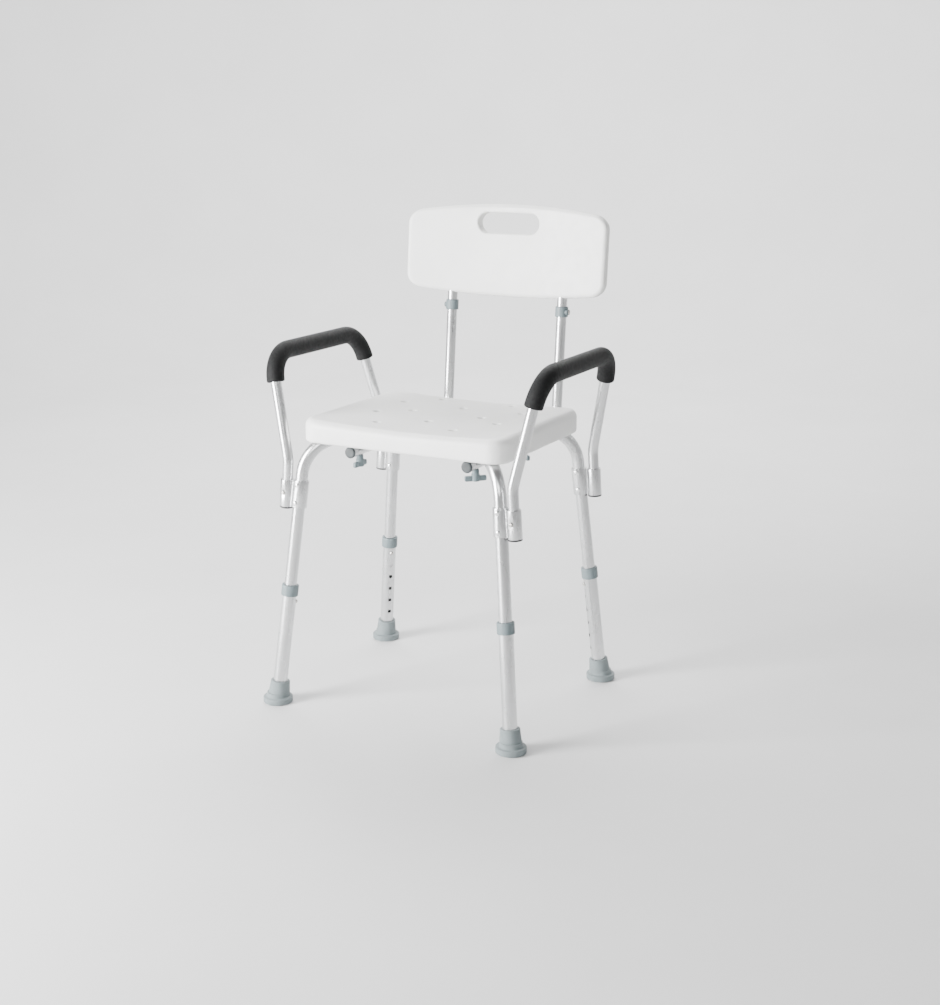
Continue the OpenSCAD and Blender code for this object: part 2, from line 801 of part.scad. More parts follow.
module arm_pad(s) color(foam_black) placed() {
    path = arm_path(s);
    front = path[2] - (path[2] - path[1]) * (arm_z - pad_end_z[s]) / (arm_z - arm_bend_z);
    rear = path[3] - (path[3] - path[4]) * (arm_z - pad_end_z[s + 2]) / (arm_z - arm_bend_z);
    bends = [0, arm_bends[2], arm_bends[3], 0];
    bent_tube([front, path[2], path[3], rear], bends, pad_od / 2, small_r + slit);
}

module arm_button(i) color(steel) placed()
    in_socket(i, arm_snap_z) rotate([-90 * fore_of[i], 0, 0]) snap_button(5.9, 15.3);

module arm_button_springs(s) color(steel) placed()
    for (i = [s, s + 2])
        in_socket(i, arm_snap_z) rotate([0, 0, 90 * fore_of[i]]) mirror([0, 0, 1])
            leaf_spring(5.9, small_bore);

if (shown("seat_board")) seat_board();
if (shown("seat_inserts")) seat_inserts();
if (shown("upper_leg_frame")) upper_leg_frame();
if (shown("lower_leg_frame")) lower_leg_frame();
if (shown("frame_centre_bolt")) frame_centre_bolt();
if (shown("leg_button_springs")) leg_button_springs();
if (shown("back_post_plugs")) back_post_plugs();
if (shown("tube_saddles")) tube_saddles();
if (shown("post_collars")) post_collars();
if (shown("bracket_rivets")) bracket_rivets();
if (shown("socket_end_caps")) socket_end_caps();
if (shown("backrest_board")) backrest_board();
if (shown("backrest_screws")) backrest_screws();
if (shown("back_button_springs")) back_button_springs();
for (s = [0, 1]) {
    if (shown(str(side_names[s], "_back_post"))) back_post(side_of[s]);
    if (shown(str("backrest_", side_names[s], "_tube"))) backrest_tube(side_of[s]);
    if (shown(str(side_names[s], "_back_button"))) back_button(side_of[s]);
    if (shown(str(side_names[s], "_arm_tube"))) arm_tube(s);
    if (shown(str(side_names[s], "_arm_pad"))) arm_pad(s);
    if (shown(str(side_names[s], "_arm_button_springs"))) arm_button_springs(s);
}
for (i = [0:3]) {
    if (shown(str(corner_names[i], "_leg_tube"))) leg_tube(i);
    if (shown(str(corner_names[i], "_leg_collar"))) leg_collar(i);
    if (shown(str(corner_names[i], "_foot"))) foot(i);
    if (shown(str(corner_names[i], "_leg_button"))) leg_button(i);
    if (shown(str(corner_names[i], "_wing_knob"))) wing_knob(i);
    if (shown(str(corner_names[i], "_wing_bolt"))) wing_bolt(i);
    if (shown(str(corner_names[i], "_arm_bracket"))) arm_bracket(i);
    if (shown(str(corner_names[i], "_arm_button"))) arm_button(i);
}
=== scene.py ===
# %% [markdown]
# # A height-adjustable shower chair
# The chair's tubes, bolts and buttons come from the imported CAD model. This script gives them their
# metal, and models by hand what a plain solid can't show: the blow-moulded seat and backrest, the
# foam arm pads, the rubber feet, the collars, knobs, saddles and the aluminium arm brackets.

# %% Load the frame
import json
import math

import bpy
from mathutils import Matrix, Vector


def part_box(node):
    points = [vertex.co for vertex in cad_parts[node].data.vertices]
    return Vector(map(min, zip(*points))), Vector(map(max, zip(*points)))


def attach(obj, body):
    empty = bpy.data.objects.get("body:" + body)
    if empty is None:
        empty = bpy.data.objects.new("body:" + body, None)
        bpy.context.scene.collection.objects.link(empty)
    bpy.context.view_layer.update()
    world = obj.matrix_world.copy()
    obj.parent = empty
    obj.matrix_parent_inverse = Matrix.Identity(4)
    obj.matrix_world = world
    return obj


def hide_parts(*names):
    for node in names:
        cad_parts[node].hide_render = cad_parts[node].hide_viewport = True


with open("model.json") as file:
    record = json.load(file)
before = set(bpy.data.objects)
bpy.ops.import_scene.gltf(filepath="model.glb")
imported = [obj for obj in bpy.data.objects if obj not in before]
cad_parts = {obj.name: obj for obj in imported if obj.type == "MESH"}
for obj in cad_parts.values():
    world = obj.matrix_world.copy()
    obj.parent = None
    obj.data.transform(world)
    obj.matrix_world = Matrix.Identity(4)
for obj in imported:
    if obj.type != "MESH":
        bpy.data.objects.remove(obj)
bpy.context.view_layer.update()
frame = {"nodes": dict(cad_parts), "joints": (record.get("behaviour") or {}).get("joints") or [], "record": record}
bpy.ops.object.select_all(action="DESELECT")
joints = {j["name"]: j for j in frame["joints"]}
mounts = {m["name"]: m for m in frame["record"]["mounts"]}
CORNERS = ("front_left", "front_right", "rear_left", "rear_right")
SIDES = ("left", "right")

# %% [markdown]
# ## Reading the frame
# A shape that stands in a leaning leg or post is easiest to model upright at the origin, and then to
# carry to its place with one matrix. The leg joints give the lean of each leg and the foot mounts
# give where it meets the floor, so nothing is measured twice.

# %% Places
UP = Vector((0, 0, 1))


def stand(origin, up, out):
    """The matrix that carries +Z to up and +X as near to out as it can go."""
    z = Vector(up).normalized()
    x = (Vector(out) - z * z.dot(Vector(out))).normalized()
    turn = Matrix((x, z.cross(x), z)).transposed().to_4x4()
    return Matrix.Translation(Vector(origin)) @ turn


def side_of(name):
    return 1 if "right" in name else -1


def fore_of(name):
    return 1 if "rear" in name else -1


MIDDLE = sum((Vector(mounts[c + "_foot_base"]["pos_m"]) for c in CORNERS), Vector()) / 4
leg_place = {}
for corner in CORNERS:
    foot = Vector(mounts[corner + "_foot_base"]["pos_m"])
    leg_place[corner] = stand(foot, joints[corner + "_leg_slide"]["axis"], foot - MIDDLE)
print("middle of the feet", [round(v, 4) for v in MIDDLE])

# %% [markdown]
# ## The camera
# It looks down on the chair from its front right, through a lens of a little more than normal
# length, with a small shift that keeps the chair where it stands in the picture.

# %% Camera
bpy.ops.object.camera_add(
    location=(1.2649, -2.3318 + MIDDLE.y, 1.0570),
    rotation=(math.radians(90 - 13.65), 0, math.radians(28.5)),
)
camera = bpy.context.object
camera.data.lens = 54.56
camera.data.shift_x = 0.0279
camera.data.shift_y = -0.0294
camera.data.clip_end = 50
bpy.context.scene.camera = camera
print("camera", [round(v, 3) for v in camera.location])

# %% [markdown]
# ## Helpers for modelling by hand
# Edit-mode operators act on what is selected, so each helper first picks corners, edges or faces by
# where they are or which way they face. A modifier is applied as soon as it has done its work.

# %% Helpers


def make_active(piece):
    bpy.ops.object.select_all(action="DESELECT")
    piece.select_set(True)
    bpy.context.view_layer.objects.active = piece


def edit(piece, *steps):
    """Runs each step in edit mode on the whole piece."""
    make_active(piece)
    bpy.ops.object.mode_set(mode="EDIT")
    for step in steps:
        bpy.ops.mesh.select_all(action="SELECT")
        step()
    bpy.ops.object.mode_set(mode="OBJECT")


def pick(piece, kind, test):
    """Selects only the faces or edges that pass a test. An edge is tested by its two ends."""
    make_active(piece)
    bpy.ops.object.mode_set(mode="EDIT")
    bpy.ops.mesh.select_mode(type=kind)
    bpy.ops.mesh.select_all(action="DESELECT")
    bpy.ops.object.mode_set(mode="OBJECT")
    mesh = piece.data
    if kind == "FACE":
        for f in mesh.polygons:
            f.select = test(f)
    else:
        for e in mesh.edges:
            e.select = test(*(mesh.vertices[i].co for i in e.vertices))
    bpy.ops.object.mode_set(mode="EDIT")


def finish_edit():
    bpy.ops.object.mode_set(mode="OBJECT")


def settle(piece, matrix=None):
    """Puts the piece's place into its mesh."""
    if matrix is not None:
        piece.matrix_world = matrix
    make_active(piece)
    bpy.ops.object.transform_apply(location=True, rotation=True, scale=True)
    return piece


def modify(piece, kind, **settings):
    make_active(piece)
    m = piece.modifiers.new(kind.lower(), kind)
    for key, value in settings.items():
        setattr(m, key, value)
    bpy.ops.object.modifier_apply(modifier=m.name)


def carve(piece, cutter, operation="DIFFERENCE"):
    modify(piece, "BOOLEAN", object=cutter, operation=operation, solver="EXACT")
    bpy.data.objects.remove(cutter)


def join(pieces):
    make_active(pieces[0])
    for p in pieces[1:]:
        p.select_set(True)
    bpy.ops.object.join()
    return pieces[0]


def sculpt(piece, move):
    """Moves every corner of the mesh to where a rule puts it."""
    for v in piece.data.vertices:
        v.co = move(v.co)
    piece.data.update()


def soften(piece, angle=35):
    make_active(piece)
    bpy.ops.object.shade_smooth_by_angle(angle=math.radians(angle))


def block(name, low, high):
    low, high = Vector(low), Vector(high)
    bpy.ops.mesh.primitive_cube_add(size=1, location=(low + high) / 2, scale=high - low)
    piece = bpy.context.object
    piece.name = name
    return settle(piece)


def slice_up(piece, axis, places):
    """Cuts the whole mesh at each place along an axis, so that it can be bent there."""
    normal = [0, 0, 0]
    normal[axis] = 1

    def cut(place):
        point = [0, 0, 0]
        point[axis] = place
        return lambda: bpy.ops.mesh.bisect(plane_co=point, plane_no=normal)

    edit(piece, *(cut(p) for p in places))


def turned(name, profile, steps=48):
    """A turned piece: a line of (radius, height) points, extruded one by one and spun about Z."""
    bpy.ops.mesh.primitive_plane_add(size=0.001)
    piece = bpy.context.object
    piece.name = name
    bpy.ops.object.mode_set(mode="EDIT")
    bpy.ops.mesh.select_mode(type="VERT")
    bpy.ops.mesh.select_all(action="SELECT")
    bpy.ops.mesh.merge(type="CENTER")
    spot = Vector((0, 0, 0))
    points = [Vector((r, 0, h)) for r, h in profile]
    bpy.ops.transform.translate(value=points[0] - spot)
    for a, b in zip(points, points[1:]):
        bpy.ops.mesh.extrude_region_move(TRANSFORM_OT_translate={"value": b - a})
    bpy.ops.mesh.select_all(action="SELECT")
    bpy.ops.mesh.spin(steps=steps, angle=math.tau, center=(0, 0, 0), axis=(0, 0, 1))
    bpy.ops.mesh.select_all(action="SELECT")
    bpy.ops.mesh.remove_doubles(threshold=0.000002)
    bpy.ops.mesh.normals_make_consistent(inside=False)
    bpy.ops.object.mode_set(mode="OBJECT")
    return piece


def rod(radius, place, low, high, vertices=64):
    """A plain cylinder from one height to another, carried to its place."""
    middle = (0, 0, (low + high) / 2)
    bpy.ops.mesh.primitive_cylinder_add(
        vertices=vertices, radius=radius, depth=high - low, location=middle
    )
    settle(bpy.context.object)
    return settle(bpy.context.object, place)


def curve_points(centre, radius, start, end, steps):
    """Points of an arc in a profile, both ends included, with angles in degrees."""
    out = []
    for k in range(steps + 1):
        a = math.radians(start + (end - start) * k / steps)
        out.append((centre[0] + radius * math.cos(a), centre[1] + radius * math.sin(a)))
    return out


# %% [markdown]
# ## Finishes
# Every finish is a Principled shader whose colour, roughness and bump vary a little with place, at
# the size that the real surface shows: a fine grain from the mould, drawn tube, matt rubber and
# open-cell foam. Numbers that are the same all over are set on the shader itself.

# %% Finish helpers


class Finish:
    """Builds one material, node by node."""

    def __init__(self, name, metallic=0.0, **sockets):
        self.material = bpy.data.materials.new(name)
        self.material.use_nodes = True
        self.tree = self.material.node_tree
        self.shader = self.tree.nodes["Principled BSDF"]
        self.shader.inputs["Metallic"].default_value = metallic
        for key, value in sockets.items():
            self.shader.inputs[key.replace("_", " ")].default_value = value
        self.place = self.tree.nodes.new("ShaderNodeTexCoord").outputs["Object"]
        self.normal = None

    def link(self, a, b):
        self.tree.links.new(a, b)

    def stretched(self, scale):
        node = self.tree.nodes.new("ShaderNodeMapping")
        node.inputs["Scale"].default_value = scale
        self.link(self.place, node.inputs["Vector"])
        return node.outputs["Vector"]

    def noise(self, scale, detail=3.0, roughness=0.55, stretch=None):
        node = self.tree.nodes.new("ShaderNodeTexNoise")
        node.inputs["Scale"].default_value = scale
        node.inputs["Detail"].default_value = detail
        node.inputs["Roughness"].default_value = roughness
        source = self.place if stretch is None else self.stretched(stretch)
        self.link(source, node.inputs["Vector"])
        return node.outputs["Fac"]

    def cells(self, scale):
        node = self.tree.nodes.new("ShaderNodeTexVoronoi")
        node.inputs["Scale"].default_value = scale
        self.link(self.place, node.inputs["Vector"])
        return node.outputs["Distance"]

    def spread(self, value, low, high, low_out, high_out):
        node = self.tree.nodes.new("ShaderNodeMapRange")
        ends = {"From Min": low, "From Max": high, "To Min": low_out, "To Max": high_out}
        for key, number in ends.items():
            node.inputs[key].default_value = number
        self.link(value, node.inputs["Value"])
        return node.outputs["Result"]

    def colour(self, value, dark, light):
        ramp = self.tree.nodes.new("ShaderNodeValToRGB")
        ramp.color_ramp.elements[0].position = 0.3
        ramp.color_ramp.elements[1].position = 0.7
        ramp.color_ramp.elements[0].color = (*dark, 1)
        ramp.color_ramp.elements[1].color = (*light, 1)
        self.link(value, ramp.inputs["Fac"])
        self.link(ramp.outputs["Color"], self.shader.inputs["Base Color"])

    def roughness(self, value, low, high):
        self.link(self.spread(value, 0.3, 0.7, low, high), self.shader.inputs["Roughness"])

    def bump(self, value, distance, strength=1.0):
        node = self.tree.nodes.new("ShaderNodeBump")
        node.inputs["Strength"].default_value = strength
        node.inputs["Distance"].default_value = distance
        self.link(value, node.inputs["Height"])
        if self.normal is not None:
            self.link(self.normal, node.inputs["Normal"])
        self.normal = node.outputs["Normal"]
        self.link(self.normal, self.shader.inputs["Normal"])


def moulded_white(name, dark, light):
    f = Finish(
        name, IOR=1.5, Subsurface_Weight=0.2, Subsurface_Scale=0.006, Subsurface_Radius=(1, 1, 0.95)
    )
    f.colour(f.noise(14, 4), dark, light)
    f.roughness(f.noise(60, 4), 0.36, 0.5)
    f.bump(f.noise(22, 2), 0.0006, 0.35)
    f.bump(f.noise(900, 2), 0.00008, 0.6)
    f.bump(f.cells(620), 0.00006, 0.5)
    return f.material


def drawn_aluminium(name, dark, light):
    f = Finish(name, metallic=1.0)
    f.colour(f.noise(9, 3), dark, light)
    f.roughness(f.noise(38, 5, 0.6, (1, 1, 0.25)), 0.22, 0.33)
    f.bump(f.noise(700, 3, 0.6, (1, 1, 0.06)), 0.00003, 0.35)
    return f.material


def plain_plastic(name, dark, light, low=0.42, high=0.58, grain=1100):
    f = Finish(name, IOR=1.49)
    f.colour(f.noise(45, 4), dark, light)
    f.roughness(f.noise(120, 3), low, high)
    f.bump(f.noise(grain, 2), 0.00006, 0.6)
    return f.material


def ground_steel(name, dark, light, low=0.2, high=0.36):
    f = Finish(name, metallic=1.0)
    f.colour(f.noise(160, 3), dark, light)
    f.roughness(f.noise(420, 4), low, high)
    f.bump(f.noise(1600, 2), 0.00002, 0.5)
    return f.material


def matt_rubber(name, dark, light):
    f = Finish(name, Sheen_Weight=0.15, Sheen_Roughness=0.5)
    f.colour(f.noise(55, 5), dark, light)
    f.roughness(f.noise(90, 4), 0.6, 0.78)
    f.bump(f.noise(1300, 3), 0.00007, 0.7)
    f.bump(f.noise(70, 2), 0.0003, 0.3)
    return f.material


def open_foam(name, dark, light):
    f = Finish(name, Sheen_Weight=0.02, Sheen_Roughness=0.4, Specular_IOR_Level=0.2)
    f.colour(f.noise(420, 4, 0.7), dark, light)
    f.roughness(f.noise(240, 4), 0.58, 0.78)
    f.bump(f.noise(32, 3), 0.0008, 0.35)
    f.bump(f.cells(1150), 0.00022, 0.9)
    f.bump(f.noise(2300, 2), 0.0001, 0.6)
    return f.material


# %% [markdown]
# Each finish is made once and shared. The tubes, bolts, buttons and rivets that come straight from
# the CAD are given theirs by what their names say.

# %% The chair's finishes
seat_white = moulded_white("seat_white", (0.80, 0.80, 0.785), (0.85, 0.85, 0.838))
back_white = moulded_white("back_white", (0.80, 0.80, 0.785), (0.85, 0.85, 0.838))
satin_tube = drawn_aluminium("satin_tube", (0.60, 0.605, 0.61), (0.67, 0.675, 0.68))
extruded_aluminium = drawn_aluminium("extruded_aluminium", (0.58, 0.585, 0.59), (0.65, 0.655, 0.66))
bright_steel = ground_steel("bright_steel", (0.50, 0.48, 0.45), (0.66, 0.64, 0.61))
rivet_metal = ground_steel("rivet_metal", (0.78, 0.78, 0.78), (0.88, 0.88, 0.88), 0.16, 0.28)
insert_brass = ground_steel("insert_brass", (0.62, 0.45, 0.19), (0.75, 0.57, 0.26))
collar_grey = plain_plastic("collar_grey", (0.135, 0.172, 0.183), (0.16, 0.20, 0.212))
knob_grey = plain_plastic("knob_grey", (0.125, 0.165, 0.178), (0.155, 0.2, 0.214))
saddle_grey = plain_plastic("saddle_grey", (0.27, 0.285, 0.285), (0.32, 0.335, 0.335))
plug_grey = plain_plastic("plug_grey", (0.036, 0.043, 0.046), (0.048, 0.057, 0.06))
cap_black = plain_plastic("cap_black", (0.009, 0.009, 0.0095), (0.014, 0.014, 0.0145))
foot_rubber = matt_rubber("foot_rubber", (0.15, 0.18, 0.186), (0.18, 0.213, 0.22))
pad_foam = open_foam("pad_foam", (0.004, 0.004, 0.0043), (0.009, 0.0093, 0.0096))


def dress(piece, material):
    piece.data.materials.clear()
    piece.data.materials.append(material)


def dress_node(name, material):
    node = frame["nodes"][name]
    node.data.materials.clear()
    node.data.materials.append(material)


for name in frame["nodes"]:
    if "button" in name or "bolt" in name or "screw" in name:
        dress_node(name, bright_steel)
    elif "rivet" in name:
        dress_node(name, rivet_metal)
    elif "insert" in name:
        dress_node(name, insert_brass)
    elif "cap" in name:
        dress_node(name, cap_black)
    elif "bracket" in name:
        dress_node(name, extruded_aluminium)
    else:
        dress_node(name, satin_tube)
print("finishes", len(bpy.data.materials))

# %% [markdown]
# ## The seat
# The real seat is blown like a bottle inside a mould, so no edge on it is sharp: its rim rolls over,
# its middle is dished from side to side, and each drain hole sinks in with a soft lip. A block is
# given round corners and a rolled rim by bevels, sliced so that it can bend, and then dished. The
# drains are cut with trumpet-shaped tools, whose flared mouths leave the soft lips.

# %% Seat: the block
low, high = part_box("seat_board")
SEAT_CORNER = 0.033
SEAT_TOP_ROUND = 0.014
SEAT_BOTTOM_ROUND = 0.006
SEAT_DISH = 0.0055
seat = block("seat", low, high)


def upright(a, b):
    return abs(a.x - b.x) < 1e-5 and abs(a.y - b.y) < 1e-5


def rim_at(piece, height):
    """Edges around the outline of the flat face at a height."""
    flat = {
        tuple(sorted(key))
        for f in piece.data.polygons
        if abs(f.normal.z) < 0.5
        for key in f.edge_keys
    }
    ids = {e.key for e in piece.data.edges if e.key in flat}

    def spot(co):
        return tuple(round(c, 6) for c in co)

    ends = {frozenset(spot(piece.data.vertices[i].co) for i in key) for key in ids}

    def test(a, b):
        on = abs(a.z - height) < 1e-5 and abs(b.z - height) < 1e-5
        return on and frozenset((spot(a), spot(b))) in ends

    return test


pick(seat, "EDGE", upright)
bpy.ops.mesh.bevel(offset=SEAT_CORNER, segments=12, affect="EDGES")
finish_edit()
pick(seat, "EDGE", rim_at(seat, high.z))
bpy.ops.mesh.bevel(offset=SEAT_TOP_ROUND, segments=8, affect="EDGES")
finish_edit()
pick(seat, "EDGE", rim_at(seat, low.z))
bpy.ops.mesh.bevel(offset=SEAT_BOTTOM_ROUND, segments=4, affect="EDGES")
finish_edit()
print("seat corners after the bevels", len(seat.data.vertices))

# %% [markdown]
# The two leg frames cross under the seat and press into its underside, one along each diagonal. A
# rod and a box below it cut a groove for each, which is open at the bottom.

# %% Seat: grooves underneath for the crossing tubes, open below
GROOVE_R = 0.0114
GROOVE_REACH = 0.231
GROOVE_DROP = 0.010
BAR_Z = 0.4845
RUN_Z = 0.46275
for corner in ("rear_left", "rear_right"):
    way = Vector(mounts[corner + "_foot_base"]["pos_m"]) - MIDDLE
    middle = MIDDLE + UP * BAR_Z
    bpy.ops.mesh.primitive_cylinder_add(vertices=48, radius=GROOVE_R, depth=2 * GROOVE_REACH)
    carve(seat, settle(bpy.context.object, stand(middle, way, UP)))
    inner = GROOVE_REACH - 0.001
    tool = block("tool", (-GROOVE_DROP, 0.00005 - GROOVE_R, -inner), (0, GROOVE_R - 0.00005, inner))
    carve(seat, settle(tool, stand(middle, way, UP)))
print("seat faces with grooves", len(seat.data.polygons))

# %% [markdown]
# Ten of the twelve drain holes lie in mirrored pairs, and two on the middle line.

# %% Seat: drain holes
DRAIN_R = 0.006
DRAIN_LIP = 0.0035
DRAINS = (
    (-0.070, 0.016), (0.070, 0.016), (-0.120, -0.025), (0.120, -0.025),
    (-0.120, 0.075), (0.120, 0.075), (-0.073, 0.136), (0.073, 0.136),
    (-0.075, -0.102), (0.075, -0.102), (0.0, -0.051), (0.0, 0.080),
)


def drain_tool(x, y, top, bottom):
    """A rod that flares at both mouths, almost level where it leaves the surface."""
    upper = curve_points((DRAIN_R + DRAIN_LIP, top - DRAIN_LIP), DRAIN_LIP, 180, 100, 6)
    lower = curve_points((DRAIN_R + 0.001, bottom + 0.001), 0.001, 100 + 160, 180, 3)
    profile = [(0, bottom - 0.01), (lower[0][0], bottom - 0.01), *lower, *upper]
    profile += [(upper[-1][0] + 0.0002, top + 0.004), (0, top + 0.004)]
    tool = turned("drain_tool", profile, 40)
    return settle(tool, Matrix.Translation((x, y + MIDDLE.y, 0)))


for x, y in DRAINS:
    carve(seat, drain_tool(x, y, high.z, low.z))
print("seat faces with drains", len(seat.data.polygons))

# %% [markdown]
# The board is sliced across and along, so that its top can sink smoothly towards the middle while
# its underside stays flat.

# %% Seat: the dish
SLICES_X = 40
SLICES_Y = 33
FLAT_HIGH = 0.012
slice_up(seat, 0, [low.x + (high.x - low.x) * k / SLICES_X for k in range(1, SLICES_X)])
slice_up(seat, 1, [low.y + (high.y - low.y) * k / SLICES_Y for k in range(1, SLICES_Y)])
dish_span = high.x - SEAT_TOP_ROUND


def dished(co):
    rise = max(0.0, (co.z - low.z - FLAT_HIGH) / (high.z - low.z - FLAT_HIGH))
    sink = SEAT_DISH * (1 - min(1.0, (co.x / dish_span) ** 2))
    return Vector((co.x, co.y, co.z - sink * rise))


sculpt(seat, dished)
edit(seat, lambda: bpy.ops.mesh.remove_doubles(threshold=0.00001))
soften(seat, 40)
dress(seat, seat_white)
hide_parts("seat_board")
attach(seat, "frame")
print("seat faces", len(seat.data.polygons))

# %% [markdown]
# ## The backrest
# The backrest is the same kind of moulding, thinner, arched along its top and bottom edges and bent
# forward at its ends. It is modelled flat and upright, with its rounding and its handle slot, and
# only then curved and leaned back to lie along the posts.

# %% Backrest: the flat board
BOARD_HALF = 0.206
BOARD_THICK = 0.0225
BOARD_CORNER = 0.028
BOARD_ROUND = 0.0085
TOP_ARCH = 0.018
BOTTOM_ARCH = 0.012
BOARD_CURVE = 0.020
CURVE_SPAN = 0.205
POST_X = 0.115
POST_GAP = 0.0115
LEAN_Z = 0.506
post_way = Vector(joints["backrest_lift"]["axis"])
post_place = stand((0, 0.238 + MIDDLE.y, LEAN_Z), post_way, (1, 0, 0))
board_low = (0.701 - LEAN_Z) / post_way.z
board_high = (0.873 - LEAN_Z) / post_way.z
board = block("backrest", (-BOARD_HALF, 0, board_low), (BOARD_HALF, BOARD_THICK, board_high))
pick(board, "EDGE", lambda a, b: abs(a.y - b.y) > 0.01)
bpy.ops.mesh.bevel(offset=BOARD_CORNER, segments=12, affect="EDGES")
finish_edit()
pick(board, "EDGE", lambda a, b: abs(a.y - b.y) < 1e-6)
bpy.ops.mesh.bevel(offset=BOARD_ROUND, segments=7, affect="EDGES")
finish_edit()
slice_up(board, 0, [BOARD_HALF * k / 24 for k in range(-23, 24)])
board_mid = (board_low + board_high) / 2
board_rise = (board_high - board_low) / 2


def arched(co):
    """The top edge falls and the bottom edge rises towards the ends; the middle stays level."""
    t = (co.x / BOARD_HALF) ** 2
    part = (co.z - board_mid) / board_rise
    depth = TOP_ARCH if part > 0 else BOTTOM_ARCH
    return Vector((co.x, co.y, co.z - depth * t * part))


sculpt(board, arched)
print("board corners", len(board.data.vertices))

# %% [markdown]
# The slot's tool is a turned rod, cut in half and pulled apart, with mouths that flare as the
# drains' do. The board's curve and its lean come last.

# %% Backrest: the handle slot, the curve and the lean
SLOT_HALF = 0.063
SLOT_LIP = 0.0038
slot_low = (0.819 - LEAN_Z) / post_way.z
slot_high = (0.857 - LEAN_Z) / post_way.z


def slot_tool():
    """A flat rod with round ends, whose two mouths flare out."""
    r = (slot_high - slot_low) / 2
    front = curve_points((r + SLOT_LIP, SLOT_LIP), SLOT_LIP, 260, 180, 6)
    back = curve_points((r + SLOT_LIP, BOARD_THICK - SLOT_LIP), SLOT_LIP, 180, 100, 6)
    profile = [(0, -0.006), (front[0][0] + 0.0002, -0.006), *front, *back]
    profile += [(back[-1][0] + 0.0002, BOARD_THICK + 0.006), (0, BOARD_THICK + 0.006)]
    tool = turned("slot_tool", profile, 48)
    edit(tool, lambda: bpy.ops.mesh.bisect(plane_co=(0, 0, 0), plane_no=(1, 0, 0)))
    stretch = SLOT_HALF - r

    def pulled_apart(co):
        way = 1 if co.x > 1e-6 else -1 if co.x < -1e-6 else 0
        return Vector((co.x + stretch * way, co.y, co.z))

    sculpt(tool, pulled_apart)
    return settle(tool, stand((0, 0, (slot_low + slot_high) / 2), (0, 1, 0), (1, 0, 0)))


carve(board, slot_tool())
slice_up(board, 2, [board_low + (board_high - board_low) * k / 18 for k in range(1, 18)])


def curved(co):
    forward = BOARD_CURVE * ((co.x / CURVE_SPAN) ** 2 - (POST_X / CURVE_SPAN) ** 2)
    return post_place @ Vector((co.x, co.y - POST_GAP - forward, co.z))


sculpt(board, curved)
edit(board, lambda: bpy.ops.mesh.remove_doubles(threshold=0.00001))
soften(board, 40)
dress(board, back_white)
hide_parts("backrest_board")
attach(board, "backrest")
print("board faces", len(board.data.polygons))

# %% [markdown]
# ## The foam arm pads
# Each pad is a foam tube pushed over the armrest before its ends were bent, so it follows the tube
# round both bends. A ring the size of the foam is spun round the front bend, extruded along the
# straight and spun round the rear bend. Its ends turn in softly to the metal, as cut foam does.

# %% Arm pads
PAD_R = 0.016
TUBE_R = 0.019049 / 2
ARM_X = 0.260
ARM_Z = 0.631
ARM_TOP_Y = (-0.150, 0.137)
PAD_END_Z = (0.584, 0.580)
PAD_BEND = 0.055
FOAM_EDGE = 0.0028
SOCKET_X = 0.2235
SOCKET_SLOPE = 0.07
SOCKET_Z = 0.387
SOCKET_Y = (-0.165, 0.168)
ARM_BEND_Z = 0.447


def socket_point(side, end, z):
    return Vector((side * (SOCKET_X - SOCKET_SLOPE * (z - SOCKET_Z)), SOCKET_Y[end] + MIDDLE.y, z))


def pad_path(side):
    tops = [Vector((side * ARM_X, ARM_TOP_Y[e] + MIDDLE.y, ARM_Z)) for e in (0, 1)]
    ends = []
    for e in (0, 1):
        foot = socket_point(side, e, ARM_BEND_Z)
        ends.append(tops[e].lerp(foot, (ARM_Z - PAD_END_Z[e]) / (ARM_Z - ARM_BEND_Z)))
    return [ends[0], tops[0], tops[1], ends[1]]


def extrude_by(value):
    bpy.ops.mesh.extrude_region_move(TRANSFORM_OT_translate={"value": value})


def run_straight(way, length):
    steps = max(2, round(length / 0.008))
    for _ in range(steps):
        extrude_by(way * (length / steps))


def bend_at(path, i):
    """What one bend of the path needs: its ways in and out, its angle, its start and its centre."""
    into, out = (path[i] - path[i - 1]).normalized(), (path[i + 1] - path[i]).normalized()
    turn = into.angle(out)
    trim = PAD_BEND * math.tan(turn / 2)
    inward = (out - into * into.dot(out)).normalized()
    start = path[i] - into * trim
    return into, out, turn, inward, start, start + inward * PAD_BEND, path[i] + out * trim


def close_end(piece, middle, outward):
    """The foam turns in with a soft edge at its cut end, and closes on the tube."""
    pick(piece, "EDGE", lambda a, b: max(abs((v - middle).dot(outward)) for v in (a, b)) < 0.0002
         and max((v - middle).length for v in (a, b)) < 0.02)
    before, travelled = PAD_R, 0.0
    rows = []
    for angle in (0.35, 0.7, 1.05, 1.4, math.pi / 2):
        rows.append((PAD_R - FOAM_EDGE * (1 - math.cos(angle)), FOAM_EDGE * math.sin(angle)))
    rows += [(0.0112, 0.0026), (TUBE_R + 0.0002, 0.0014), (TUBE_R - 0.0001, -0.0012)]
    for radius, reach in rows:
        extrude_by(outward * (reach - travelled))
        size = (radius / before,) * 3
        bpy.ops.transform.resize(value=size, center_override=middle + outward * reach)
        before, travelled = radius, reach
    bpy.ops.mesh.edge_face_add()
    finish_edit()


